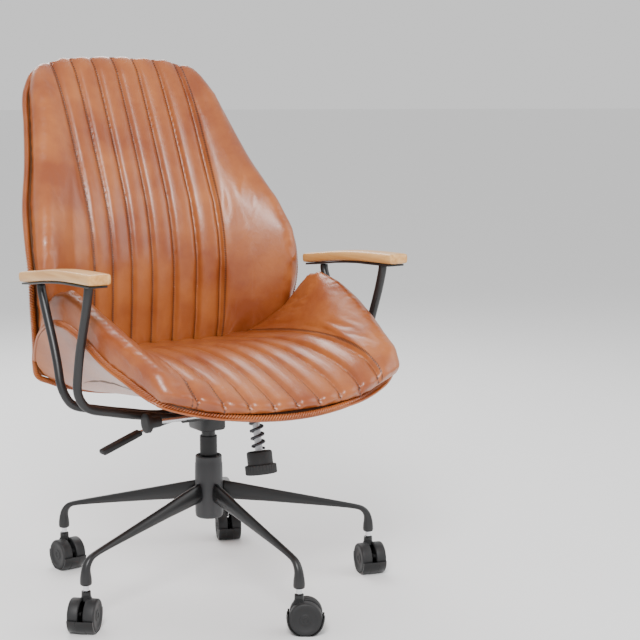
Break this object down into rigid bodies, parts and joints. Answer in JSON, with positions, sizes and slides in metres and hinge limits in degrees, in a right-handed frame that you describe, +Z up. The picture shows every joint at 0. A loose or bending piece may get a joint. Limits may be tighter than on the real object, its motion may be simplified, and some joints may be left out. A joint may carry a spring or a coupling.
{
  "type": "swivel office chair",
  "caption": "Leather bucket office chair on a five-legged caster base, with a gas lift, a tilting seat, bent tube arms and wooden arm pads.",
  "frame": {"origin": "centre of the chair's bounding box on the floor, under the seat", "axes": "+Z up, +X to the sitter's left, -Y to the front"},
  "size_m": [0.6802, 0.7752, 1.0087],
  "materials": {
    "tan_leather": "semi-gloss, aniline tan with a patina",
    "plywood": "raw moulded plywood",
    "steel": "plain",
    "chrome": "bright plated",
    "black_powder_coat": "satin powder coat",
    "hub_paint": "satin dark grey",
    "black_plastic": "fine moulded texture",
    "gloss_hood": "polished mould",
    "beech": "satin lacquer",
    "spring_steel": "blackened coil"
  },
  "bodies": {
    "base": {"hub": "hub_paint", "leg_1": "black_powder_coat", "leg_2": "black_powder_coat", "leg_3": "black_powder_coat", "leg_4": "black_powder_coat", "leg_5": "black_powder_coat", "column_outer_tube": "hub_paint", "guide_bush": "black_plastic", "caster_stem_1": "chrome", "caster_stem_2": "chrome", "caster_stem_3": "chrome", "caster_stem_4": "chrome", "caster_stem_5": "chrome"},
    "swivel": {"piston_rod": "chrome", "thrust_bearing": "steel"},
    "lift": {"gas_cylinder": "black_powder_coat", "column_sleeve": "black_plastic", "mechanism_housing": "black_powder_coat", "tilt_axle": "steel", "tension_spring": "spring_steel"},
    "tilt": {"seat_plate": "black_powder_coat", "tension_bolt": "steel", "seat_bottom_cover": "tan_leather", "seat_shell": "plywood", "seat_cushion": "tan_leather", "back_rear_cover": "tan_leather", "back_shell": "plywood", "back_cushion": "tan_leather", "back_bracket": "steel", "arm_pad_left": "beech", "arm_plate_left": "black_powder_coat", "arm_saddle_left": "black_powder_coat", "arm_pad_right": "beech", "arm_plate_right": "black_powder_coat", "arm_saddle_right": "black_powder_coat", "arm_tube_front_left": "black_powder_coat", "arm_tube_rear_left": "black_powder_coat", "arm_tube_front_right": "black_powder_coat", "arm_tube_rear_right": "black_powder_coat"},
    "knob": {"tension_knob": "black_plastic"},
    "lever": {"lever_rod": "chrome", "lever_paddle": "black_plastic"},
    "release": {"release_pin": "steel"},
    "lock": {"lock_rod": "chrome", "lock_knob": "black_plastic"},
    "caster_1": {"caster_hood_1": "gloss_hood"},
    "wheel_1a": {"caster_wheel_1a": "black_plastic"},
    "wheel_1b": {"caster_wheel_1b": "black_plastic"},
    "caster_2": {"caster_hood_2": "gloss_hood"},
    "wheel_2a": {"caster_wheel_2a": "black_plastic"},
    "wheel_2b": {"caster_wheel_2b": "black_plastic"},
    "caster_3": {"caster_hood_3": "gloss_hood"},
    "wheel_3a": {"caster_wheel_3a": "black_plastic"},
    "wheel_3b": {"caster_wheel_3b": "black_plastic"},
    "caster_4": {"caster_hood_4": "gloss_hood"},
    "wheel_4a": {"caster_wheel_4a": "black_plastic"},
    "wheel_4b": {"caster_wheel_4b": "black_plastic"},
    "caster_5": {"caster_hood_5": "gloss_hood"},
    "wheel_5a": {"caster_wheel_5a": "black_plastic"},
    "wheel_5b": {"caster_wheel_5b": "black_plastic"}
  },
  "joints": [
    {"name": "seat_swivel", "type": "hinge", "parent": "base", "child": "swivel", "pos_m": [0.00924, -0.02543, 0.13412], "axis": [0, 0, 1], "continuous": true},
    {"name": "seat_height", "type": "slide", "parent": "swivel", "child": "lift", "axis": [0, 0, 1], "range_m": [0, 0.075]},
    {"name": "seat_tilt", "type": "hinge", "parent": "lift", "child": "tilt", "pos_m": [0.00924, -0.06543, 0.34572], "axis": [-1, 0, 0], "range_deg": [0, 12], "stiffness_Nm_per_rad": 220, "springref_deg": -28.65, "deforming": ["tension_spring"]},
    {"name": "tension_turn", "type": "hinge", "parent": "tilt", "child": "knob", "pos_m": [0.00924, -0.21532, 0.27761], "axis": [0, 0.1977, 0.9803], "range_deg": [-360, 360]},
    {"name": "lever_lift", "type": "hinge", "parent": "lift", "child": "lever", "pos_m": [-0.01076, -0.02543, 0.33952], "axis": [0, 1, 0], "range_deg": [0, 8], "stiffness_Nm_per_rad": 3, "springref_deg": -20.05},
    {"name": "release_press", "type": "slide", "parent": "lift", "child": "release", "axis": [0, 0, -1], "range_m": [0, 0.0031]},
    {"name": "tilt_lock", "type": "slide", "parent": "lift", "child": "lock", "axis": [1, 0, 0], "range_m": [0, 0.012]},
    {"name": "caster_swivel_1", "type": "hinge", "parent": "base", "child": "caster_1", "pos_m": [0.00924, -0.34343, 0.07922], "axis": [0, 0, 1], "continuous": true},
    {"name": "wheel_roll_1a", "type": "hinge", "parent": "caster_1", "child": "wheel_1a", "pos_m": [0.01877, -0.34986, 0.02942], "axis": [-0.5592, -0.829, 0], "continuous": true},
    {"name": "wheel_roll_1b", "type": "hinge", "parent": "caster_1", "child": "wheel_1b", "pos_m": [0.01877, -0.34986, 0.02942], "axis": [-0.5592, -0.829, 0], "continuous": true},
    {"name": "caster_swivel_2", "type": "hinge", "parent": "base", "child": "caster_2", "pos_m": [0.31167, -0.1237, 0.07922], "axis": [0, 0, 1], "continuous": true},
    {"name": "wheel_roll_2a", "type": "hinge", "parent": "caster_2", "child": "wheel_2a", "pos_m": [0.3087, -0.13481, 0.02942], "axis": [-0.9659, 0.2588, 0], "continuous": true},
    {"name": "wheel_roll_2b", "type": "hinge", "parent": "caster_2", "child": "wheel_2b", "pos_m": [0.3087, -0.13481, 0.02942], "axis": [-0.9659, 0.2588, 0], "continuous": true},
    {"name": "caster_swivel_3", "type": "hinge", "parent": "base", "child": "caster_3", "pos_m": [0.19615, 0.23184, 0.07922], "axis": [0, 0, 1], "continuous": true},
    {"name": "wheel_roll_3a", "type": "hinge", "parent": "caster_3", "child": "wheel_3a", "pos_m": [0.19185, 0.22117, 0.02942], "axis": [-0.9272, 0.3746, 0], "continuous": true},
    {"name": "wheel_roll_3b", "type": "hinge", "parent": "caster_3", "child": "wheel_3b", "pos_m": [0.19185, 0.22117, 0.02942], "axis": [-0.9272, 0.3746, 0], "continuous": true},
    {"name": "caster_swivel_4", "type": "hinge", "parent": "base", "child": "caster_4", "pos_m": [-0.17768, 0.23184, 0.07922], "axis": [0, 0, 1], "continuous": true},
    {"name": "wheel_roll_4a", "type": "hinge", "parent": "caster_4", "child": "wheel_4a", "pos_m": [-0.17647, 0.2204, 0.02942], "axis": [-0.9945, -0.1045, 0], "continuous": true},
    {"name": "wheel_roll_4b", "type": "hinge", "parent": "caster_4", "child": "wheel_4b", "pos_m": [-0.17647, 0.2204, 0.02942], "axis": [-0.9945, -0.1045, 0], "continuous": true},
    {"name": "caster_swivel_5", "type": "hinge", "parent": "base", "child": "caster_5", "pos_m": [-0.2932, -0.1237, 0.07922], "axis": [0, 0, 1], "continuous": true},
    {"name": "wheel_roll_5a", "type": "hinge", "parent": "caster_5", "child": "wheel_5a", "pos_m": [-0.30089, -0.13224, 0.02942], "axis": [-0.7431, 0.6691, 0], "continuous": true},
    {"name": "wheel_roll_5b", "type": "hinge", "parent": "caster_5", "child": "wheel_5b", "pos_m": [-0.30089, -0.13224, 0.02942], "axis": [-0.7431, 0.6691, 0], "continuous": true}
  ],
  "couplings": [
    {"joint": "release_press", "follows": "lever_lift", "m_per_rad": 0.0215}
  ]
}
